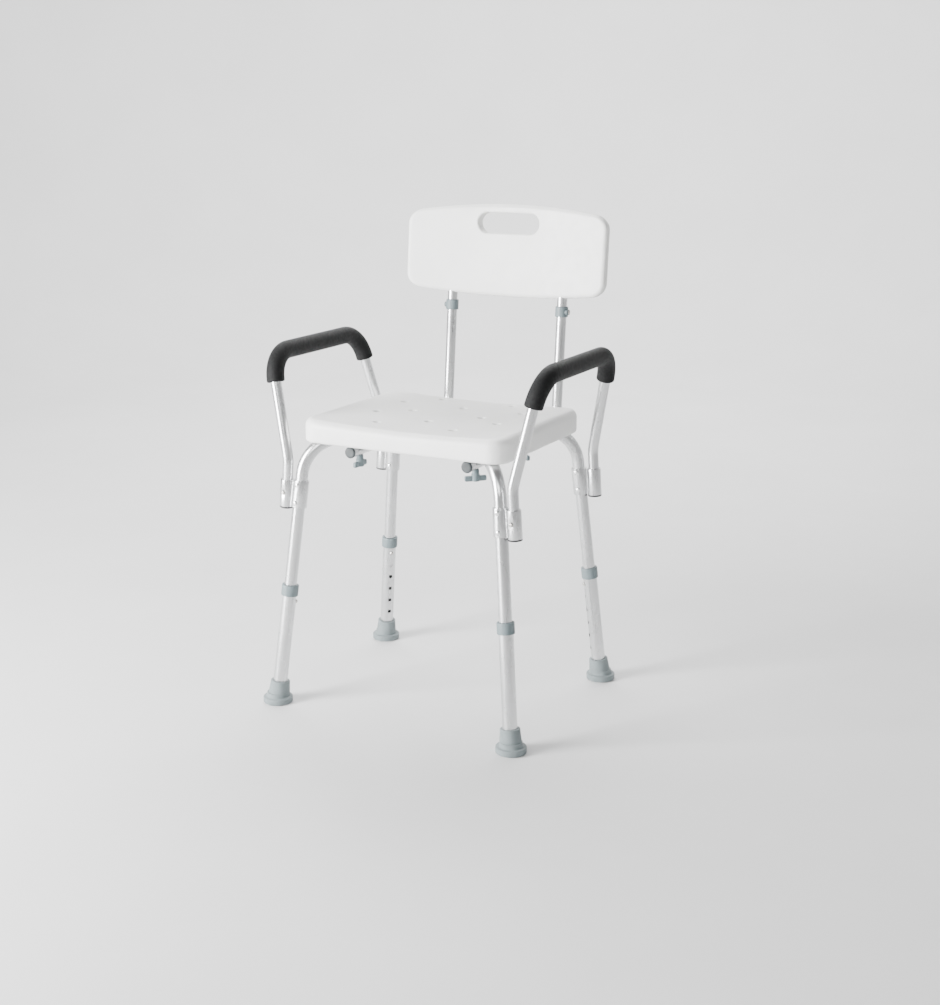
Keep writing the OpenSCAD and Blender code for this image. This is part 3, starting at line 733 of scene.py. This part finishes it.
def pad(side, name):
    arm = name.replace("foam_", "")
    path = pad_path(side)
    into, out, turn, inward, start, centre, spot = bend_at(path, 1)
    skipped = math.asin((PAD_END_Z[0] - start.z) / into.z / PAD_BEND)
    first = start + into * (PAD_BEND * math.sin(skipped))
    first += inward * (PAD_BEND * (1 - math.cos(skipped)))
    way = into * math.cos(skipped) + inward * math.sin(skipped)
    bpy.ops.mesh.primitive_circle_add(vertices=48, radius=PAD_R, fill_type="NOTHING")
    piece = bpy.context.object
    piece.name = name
    settle(piece, stand(first, way, (0, 1, 0)))
    bpy.ops.object.mode_set(mode="EDIT")
    bpy.ops.mesh.select_mode(type="VERT")
    bpy.ops.mesh.select_all(action="SELECT")
    bpy.ops.mesh.spin(steps=12, angle=turn - skipped, center=centre, axis=inward.cross(into))
    into, out, turn, inward, start, centre, end = bend_at(path, 2)
    run_straight(into, (start - spot).length)
    bpy.ops.mesh.spin(steps=12, angle=turn, center=centre, axis=inward.cross(into))
    last = path[3] - out * FOAM_EDGE
    run_straight(out, (last - end).dot(out))
    bpy.ops.object.mode_set(mode="OBJECT")
    close_end(piece, first, -way)
    close_end(piece, last, out)
    edit(piece, lambda: bpy.ops.mesh.remove_doubles(threshold=0.00001),
         lambda: bpy.ops.mesh.normals_make_consistent(inside=False))
    soften(piece, 60)
    dress(piece, pad_foam)
    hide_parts(arm + "_arm_pad")
    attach(piece, arm + "_armrest")


for side, name in ((-1, "foam_left"), (1, "foam_right")):
    pad(side, name)

# %% [markdown]
# ## Feet and collars
# A foot is one rubber moulding: a flat tip with a thick rim, a hollow flare above it, and a sleeve
# that leans with the leg and ends in a soft lip. The tip and its flare are spun about a plumb line
# and the sleeve about the leg, and the two are joined where they run into each other.

# %% Feet
BASE_R = 0.0265
RIM_HIGH = 0.011
SLEEVE_TOP = 0.041
BORE_R = 0.01275
BORE_LOW = 0.00805


def foot(corner):
    place = leg_place[corner]
    spot = Vector(mounts[corner + "_foot_base"]["pos_m"])
    tip = [(0, 0.0), (BASE_R - 0.0022, 0.0)]
    tip += curve_points((BASE_R - 0.0022, 0.0022), 0.0022, -72, 0, 4)
    tip += curve_points((BASE_R - 0.0016, RIM_HIGH - 0.0016), 0.0016, 0, 72, 5)
    tip += [(0.0225, RIM_HIGH - 0.0002), (0.0214, RIM_HIGH + 0.0003), (0.0207, RIM_HIGH + 0.0013)]
    tip += [(0.0202, RIM_HIGH + 0.0030), (0.0198, RIM_HIGH + 0.0054), (0.0194, RIM_HIGH + 0.0080)]
    tip += [(0, RIM_HIGH + 0.0080)]
    piece = turned(corner + "_foot_rubber", tip, 64)
    settle(piece, Matrix.Translation(spot))
    sleeve = [(0, 0.012), (0.0190, 0.012), (0.01895, 0.0190), (0.0188, 0.0220), (0.01835, 0.0270)]
    sleeve += [(0.01785, 0.0325), (0.0174, 0.0370), (0.0173, 0.0374), (0.01735, 0.0396)]
    sleeve += [(0.0171, 0.0404), (0.0165, 0.0409), (0.0159, SLEEVE_TOP), (0.0136, SLEEVE_TOP)]
    sleeve += [(0.01295, SLEEVE_TOP - 0.0005), (0.0126, SLEEVE_TOP - 0.002)]
    sleeve += [(0.0126, 0.030), (0, 0.030)]
    upper = settle(turned("sleeve", sleeve, 64), place)
    carve(piece, upper, "UNION")
    carve(piece, rod(BORE_R, place, BORE_LOW, SLEEVE_TOP - 0.003))
    edit(piece, lambda: bpy.ops.mesh.remove_doubles(threshold=0.00002),
         lambda: bpy.ops.mesh.normals_make_consistent(inside=False))
    soften(piece, 32)
    dress(piece, foot_rubber)
    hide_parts(corner + "_foot")
    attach(piece, corner + "_leg")
    return piece


for corner in CORNERS:
    print(foot(corner).name)

# %% [markdown]
# The collar at the top of each leg extension is a turned plastic ring, with a small chamfer below
# and a rounded lip above that closes on to the inner tube. It is a spun profile.

# %% Leg collars
COLLAR_R = 0.01525
EXTENSION_R = 0.0127
FRAME_TUBE_R = 0.0111
lean = leg_place["front_left"].to_3x3().col[2].z
COLLAR_LOW = 0.201 / lean
COLLAR_HIGH = 0.218 / lean + 0.003


def leg_collar(corner):
    r, low, high = COLLAR_R, COLLAR_LOW, COLLAR_HIGH
    profile = [(EXTENSION_R + 0.0001, low + 0.0006), (EXTENSION_R + 0.0006, low), (r - 0.0009, low)]
    profile += curve_points((r - 0.0009, low + 0.0009), 0.0009, -60, 0, 3)
    profile += [(r, low + 0.0052), (r - 0.00025, low + 0.0056), (r, low + 0.006)]
    profile += curve_points((r - 0.0018, high - 0.0018), 0.0018, 0, 90, 6)
    profile += [(FRAME_TUBE_R + 0.0007, high), (FRAME_TUBE_R + 0.00015, high - 0.0005)]
    profile += [(FRAME_TUBE_R + 0.00015, high - 0.00295), (EXTENSION_R + 0.0001, high - 0.00295)]
    profile += profile[:1]
    piece = turned(corner + "_collar_ring", profile, 56)
    settle(piece, leg_place[corner])
    soften(piece, 30)
    dress(piece, collar_grey)
    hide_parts(corner + "_leg_collar")
    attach(piece, corner + "_leg")
    return piece


for corner in CORNERS:
    print(leg_collar(corner).name)

# %% [markdown]
# ## Wing knobs and saddles
# Under each corner of the seat a winged knob pulls one bolt tight through the back frame and the
# crossing tube. The knob's hub is turned, and its wings are one bar with softened edges joined to
# it. Each saddle is a small square block with the two tubes cut through it, one above the other.

# %% Wing knobs
KNOB_Z = 0.437
KNOB_HALF = 0.0047
KNOB_TOP = RUN_Z - TUBE_R - 0.0001
WING_SPAN = 0.039
WING_THICK = 0.0055
KNOB_TURNS = (90, 46, -20, -34)
BOLT_X = 0.115
diagonal = Vector(mounts["rear_right_foot_base"]["pos_m"]) - MIDDLE
BOLT_Y = BOLT_X * abs(diagonal.y / diagonal.x)


def bolt_spot(corner, z=0.0):
    return Vector((side_of(corner) * BOLT_X, fore_of(corner) * BOLT_Y + MIDDLE.y, z))


def wing_knob(corner, turn):
    top = KNOB_TOP - KNOB_Z
    hub = [(0, -KNOB_HALF), (0.0060, -KNOB_HALF)]
    hub += curve_points((0.0062, -KNOB_HALF + 0.0010), 0.0010, -60, 0, 3)
    hub += [(0.0072, 0.0068), *curve_points((0.0062, 0.0072), 0.0010, 20, 60, 2)]
    hub += [(0.0061, 0.0092), (0.0061, top - 0.0006), (0.0056, top)]
    hub += [(0.0031, top), (0.0031, top - 0.004), (0, top - 0.004)]
    piece = turned(corner + "_knob", hub, 40)
    half = Vector((WING_SPAN / 2, WING_THICK / 2, KNOB_HALF))
    wings = block("wings", -half, half)
    pick(wings, "EDGE", lambda a, b: abs(a.y - b.y) > 0.002)
    bpy.ops.mesh.bevel(offset=0.0027, segments=6, affect="EDGES")
    finish_edit()
    pick(wings, "EDGE", lambda a, b: abs(a.y - b.y) < 1e-6)
    bpy.ops.mesh.bevel(offset=0.0011, segments=4, affect="EDGES")
    finish_edit()
    carve(piece, wings, "UNION")
    edit(piece, lambda: bpy.ops.mesh.remove_doubles(threshold=0.00001))
    turned_wings = Matrix.Rotation(math.radians(turn), 4, "Z")
    settle(piece, Matrix.Translation(bolt_spot(corner, KNOB_Z)) @ turned_wings)
    soften(piece, 32)
    dress(piece, knob_grey)
    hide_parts(corner + "_wing_knob")
    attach(piece, corner + "_wing_knob")
    return piece


for corner, turn in zip(CORNERS, KNOB_TURNS):
    print(wing_knob(corner, turn).name)

# %% [markdown]
# A saddle is a block with round upright corners. The back frame's tube is cut through its lower
# face, and the crossing tube through its upper face.

# %% Saddles
SADDLE = 0.026
SADDLE_LOW = 0.464
SADDLE_HIGH = 0.4797
saddles = []
for corner in CORNERS:
    spot = bolt_spot(corner)
    half = Vector((SADDLE / 2, SADDLE / 2, 0))
    corner_low, corner_high = spot - half + UP * SADDLE_LOW, spot + half + UP * SADDLE_HIGH
    saddle = block(corner + "_saddle", corner_low, corner_high)
    pick(saddle, "EDGE", upright)
    bpy.ops.mesh.bevel(offset=0.003, segments=5, affect="EDGES")
    finish_edit()
    pick(saddle, "EDGE", lambda a, b: abs(a.z - b.z) < 1e-6)
    bpy.ops.mesh.bevel(offset=0.0007, segments=2, affect="EDGES")
    finish_edit()
    bpy.ops.mesh.primitive_cylinder_add(vertices=64, radius=TUBE_R + 0.00005, depth=0.06)
    carve(saddle, settle(bpy.context.object, stand(spot + UP * RUN_Z, (0, 1, 0), UP)))
    bpy.ops.mesh.primitive_cylinder_add(vertices=64, radius=FRAME_TUBE_R + 0.00005, depth=0.08)
    way = bolt_spot(corner) - MIDDLE
    carve(saddle, settle(bpy.context.object, stand(spot + UP * BAR_Z, way, UP)))
    saddles.append(saddle)
saddle_set = join(saddles)
saddle_set.name = "saddles"
soften(saddle_set, 32)
dress(saddle_set, saddle_grey)
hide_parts("tube_saddles")
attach(saddle_set, "frame")
print("saddle faces", len(saddle_set.data.polygons))

# %% [markdown]
# ## Plugs, post collars and end caps
# The open ends of tubes are closed by moulded plugs. Each one is a spun profile with a rounded rim.
# The collars on top of the back posts also have a small boss, which guides the snap button.

# %% Back post plugs
RUN_FRONT = -0.125
plugs = []
for side in (-1, 1):
    r = TUBE_R
    profile = [(0, -0.010), (r - 0.0016, -0.010), (r - 0.0016, 0), (r + 0.0003, 0)]
    profile += [(r + 0.0007, 0.0004), (r + 0.0007, 0.0016)]
    profile += curve_points((r - 0.0020, 0.0016), 0.0027, 0, 80, 6)
    profile += [(r - 0.0040, 0.00427), (0, 0.0043)]
    plug = turned("plug", profile, 48)
    settle(plug, stand((side * POST_X, RUN_FRONT + MIDDLE.y, RUN_Z), (0, -1, 0), UP))
    plugs.append(plug)
plug_pair = join(plugs)
plug_pair.name = "post_plugs"
soften(plug_pair, 35)
dress(plug_pair, plug_grey)
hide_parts("back_post_plugs")
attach(plug_pair, "frame")
print("plug faces", len(plug_pair.data.polygons))

# %% [markdown]
# A collar grips the top of each back post. It is a turned ring with the boss joined to its outer
# side, and bored for the post, for the spigot above it and for the button.

# %% Post collars
COLLAR = 0.012
post_low = (0.671 - LEAN_Z) / post_way.z
post_high = (0.690 - LEAN_Z) / post_way.z
post_end = (0.688 - LEAN_Z) / post_way.z
snap_w = (0.680 - LEAN_Z) / post_way.z
SPIGOT_R = 0.008125
BUTTON_R = 0.0035
collars = []
for side in (-1, 1):
    profile = [(0, post_low), (COLLAR - 0.0010, post_low)]
    profile += curve_points((COLLAR - 0.0010, post_low + 0.0010), 0.0010, -60, 0, 3)
    profile += curve_points((COLLAR - 0.0016, post_high - 0.0016), 0.0016, 0, 90, 5)
    profile += [(0, post_high)]
    ring = turned("ring", profile, 56)
    boss = block("boss", (-0.005, -0.0075, 0), (0.005, 0.0075, 0.014))
    pick(boss, "EDGE", upright)
    bpy.ops.mesh.bevel(offset=0.0045, segments=8, affect="EDGES")
    finish_edit()
    pick(boss, "EDGE", lambda a, b: abs(a.z - 0.014) < 1e-6 and abs(b.z - 0.014) < 1e-6)
    bpy.ops.mesh.bevel(offset=0.0008, segments=3, affect="EDGES")
    finish_edit()
    settle(boss, stand((0, 0, snap_w), (side, 0, 0), UP))
    carve(ring, boss, "UNION")
    bpy.ops.mesh.primitive_cylinder_add(vertices=56, radius=TUBE_R + 0.00005, depth=0.1)
    carve(ring, settle(bpy.context.object, Matrix.Translation((0, 0, post_end + 0.00005 - 0.05))))
    bpy.ops.mesh.primitive_cylinder_add(vertices=56, radius=SPIGOT_R + 0.0001, depth=0.1)
    carve(ring, settle(bpy.context.object, Matrix.Translation((0, 0, post_high))))
    bpy.ops.mesh.primitive_cylinder_add(vertices=40, radius=BUTTON_R + 0.00025, depth=0.03)
    carve(ring, settle(bpy.context.object, stand((side * 0.015, 0, snap_w), (side, 0, 0), UP)))
    settle(ring, Matrix.Translation((side * POST_X, 0, 0)))
    settle(ring, post_place)
    collars.append(ring)
collar_pair = join(collars)
collar_pair.name = "post_collar_pair"
edit(collar_pair, lambda: bpy.ops.mesh.remove_doubles(threshold=0.00001))
soften(collar_pair, 32)
dress(collar_pair, collar_grey)
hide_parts("post_collars")
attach(collar_pair, "frame")
print("collar faces", len(collar_pair.data.polygons))

# %% [markdown]
# A thin black cap closes the bottom of each arm socket.

# %% Socket end caps
SOCKET_LOW = 0.363
SOCKET_R = 0.0125
socket_place = {}
caps = []
for corner in CORNERS:
    side, end = side_of(corner), 0 if fore_of(corner) < 0 else 1
    way = socket_point(side, end, SOCKET_Z + 0.1) - socket_point(side, end, SOCKET_Z)
    socket_place[corner] = stand(socket_point(side, end, SOCKET_LOW), way, (side, 0, 0))
    r = SOCKET_R - 0.0002
    profile = [(0, -0.003), (r - 0.0014, -0.003)]
    profile += curve_points((r - 0.0012, -0.0018), 0.0012, -80, 0, 5)
    profile += [(r, 0), (TUBE_R, 0), (TUBE_R, 0.003), (0, 0.003)]
    caps.append(settle(turned("cap", profile, 48), socket_place[corner]))
cap_set = join(caps)
cap_set.name = "socket_caps"
soften(cap_set, 35)
dress(cap_set, cap_black)
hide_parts("socket_end_caps")
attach(cap_set, "frame")
print("caps", len(cap_set.data.polygons))

# %% [markdown]
# ## Arm brackets
# Each bracket is a length cut from one extruded profile: a ring round the leg, a socket for the arm
# and a web between them, with a fillet on each side where they meet. The ring and the socket are
# spun and the web is a sliced block, whose waist follows the fillet at each height. All are joined.

# %% Arm brackets
RING_R = 0.014
SOCKET_HIGH = 0.412
FILLET = 0.0025
RIVET_HEIGHTS = (0.372, 0.405)
ARM_SNAP_Z = 0.389


def edge_rod(radius, place, low, high, bevel, steps):
    """A turned rod with softened ends."""
    inner = radius - bevel
    profile = [(0, low), (inner, low), *curve_points((inner, low + bevel), bevel, -60, 0, 2)]
    profile += [*curve_points((inner, high - bevel), bevel, 0, 60, 2), (inner, high), (0, high)]
    return settle(turned("rod", profile, steps), place)


def bracket(corner):
    side, end = side_of(corner), 0 if fore_of(corner) < 0 else 1
    height = SOCKET_HIGH - SOCKET_LOW
    leg = leg_place[corner]
    ring_low = SOCKET_LOW / lean
    piece = edge_rod(RING_R, leg, ring_low, ring_low + height, 0.0005, 64)
    piece.name = corner + "_bracket_body"
    web = block("web", (0, -1, SOCKET_LOW + 0.0015), (1, 1, SOCKET_HIGH - 0.0015))
    slice_up(web, 0, [0.36 + 0.02 * k for k in range(17)])
    slice_up(web, 2, [SOCKET_LOW + 0.006 * k for k in range(1, 8)])

    def waist(co):
        """Fills the valley between the ring and the socket with a round fillet, at every height."""
        root = leg @ Vector((0, 0, co.z / lean))
        across = socket_point(side, end, co.z) - root
        span = across.length
        along = across.normalized()
        beside = UP.cross(along)
        x = co.x * span
        near, far = RING_R + FILLET, SOCKET_R + FILLET
        mid = (near ** 2 - far ** 2 + span ** 2) / (2 * span)
        high = math.sqrt(near ** 2 - mid ** 2)
        start, stop = mid * RING_R / near, span - (span - mid) * SOCKET_R / far
        reach = min(max(x, start), stop) - mid
        half = high - math.sqrt(FILLET ** 2 - reach ** 2)
        return root + along * x + beside * co.y * half

    sculpt(web, waist)
    edit(web, lambda: bpy.ops.mesh.remove_doubles(threshold=0.00001),
         lambda: bpy.ops.mesh.normals_make_consistent(inside=False))
    carve(piece, web, "UNION")
    turn = Matrix.Rotation(math.radians(2), 4, "Z")
    carve(piece, edge_rod(SOCKET_R, socket_place[corner] @ turn, 0, height, 0.0005, 60), "UNION")
    carve(piece, rod(FRAME_TUBE_R + 0.00005, leg, ring_low - 0.02, ring_low + height + 0.02))
    carve(piece, rod(TUBE_R + 0.0001, socket_place[corner], -0.02, height + 0.02))
    for z in RIVET_HEIGHTS:
        spot = leg @ Vector((0, 0, z / lean))
        carve(piece, rod(0.0048, stand(spot, (0, -1, 0), (0.1, 0, 1)), RING_R - 0.0007, 0.02, 36))
    hole = stand(socket_point(side, end, ARM_SNAP_Z), (0, -1 if end == 0 else 1, 0), UP)
    flare = [(0, 0.006), (BUTTON_R + 0.0002, 0.006), (BUTTON_R + 0.0002, SOCKET_R - 0.0007)]
    flare += [(BUTTON_R + 0.0005, SOCKET_R - 0.0003), (BUTTON_R + 0.0012, SOCKET_R)]
    flare += [(BUTTON_R + 0.0012, 0.02), (0, 0.02)]
    carve(piece, settle(turned("hole", flare, 40), hole))
    edit(piece, lambda: bpy.ops.mesh.remove_doubles(threshold=0.00001))
    soften(piece, 32)
    dress(piece, extruded_aluminium)
    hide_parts(corner + "_arm_bracket")
    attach(piece, "frame")
    return piece


for corner in CORNERS:
    piece = bracket(corner)
    print(piece.name, len(piece.data.polygons))

# %% [markdown]
# ## Light and floor
# A tall soft box at the left front gives the long highlights on the tubes and the bright front of
# the seat. The right side is left darker, so that round things look round. A box overhead lights
# the pale floor, which curves up all round into a plain wall.

# %% Stage
world = bpy.data.worlds.new("studio")
bpy.context.scene.world = world
world.use_nodes = True
world.node_tree.nodes["Background"].inputs["Color"].default_value = (0.96, 0.98, 1.0, 1)
world.node_tree.nodes["Background"].inputs["Strength"].default_value = 0.14


def soft_box(name, spot, size, power, target=(0, 0, 0.45)):
    way = Vector(target) - Vector(spot)
    turn = way.to_track_quat("-Z", "Y").to_euler()
    bpy.ops.object.light_add(type="AREA", location=spot, rotation=turn)
    lamp = bpy.context.object
    lamp.name = name
    lamp.data.shape = "RECTANGLE"
    lamp.data.size = size[0]
    lamp.data.size_y = size[1]
    lamp.data.energy = power


soft_box("key", (-1.5, -1.9, 1.0), (1.0, 1.8), 260)
soft_box("front", (0.9, -3.2, 1.9), (1.6, 1.2), 50)
soft_box("floor_light", (-1.0, 2.2, 3.0), (3.0, 2.4), 290, (-1.2, 2.4, 0))
bpy.ops.mesh.primitive_cylinder_add(vertices=96, radius=5.0, depth=4.0, location=(0, 0, 2.0))
studio = bpy.context.object
studio.name = "studio"
settle(studio)
pick(studio, "FACE", lambda f: f.normal.z > 0.5)
bpy.ops.mesh.delete(type="FACE")
finish_edit()
pick(studio, "EDGE", lambda a, b: max(a.z, b.z) < 1e-4)
bpy.ops.mesh.bevel(offset=1.8, segments=16, affect="EDGES")
finish_edit()
edit(studio, bpy.ops.mesh.flip_normals)
soften(studio, 60)
paint = Finish("studio_paint")
paint.colour(paint.noise(3, 3), (0.66, 0.66, 0.66), (0.69, 0.69, 0.69))
paint.roughness(paint.noise(20, 3), 0.75, 0.9)
studio.data.materials.append(paint.material)
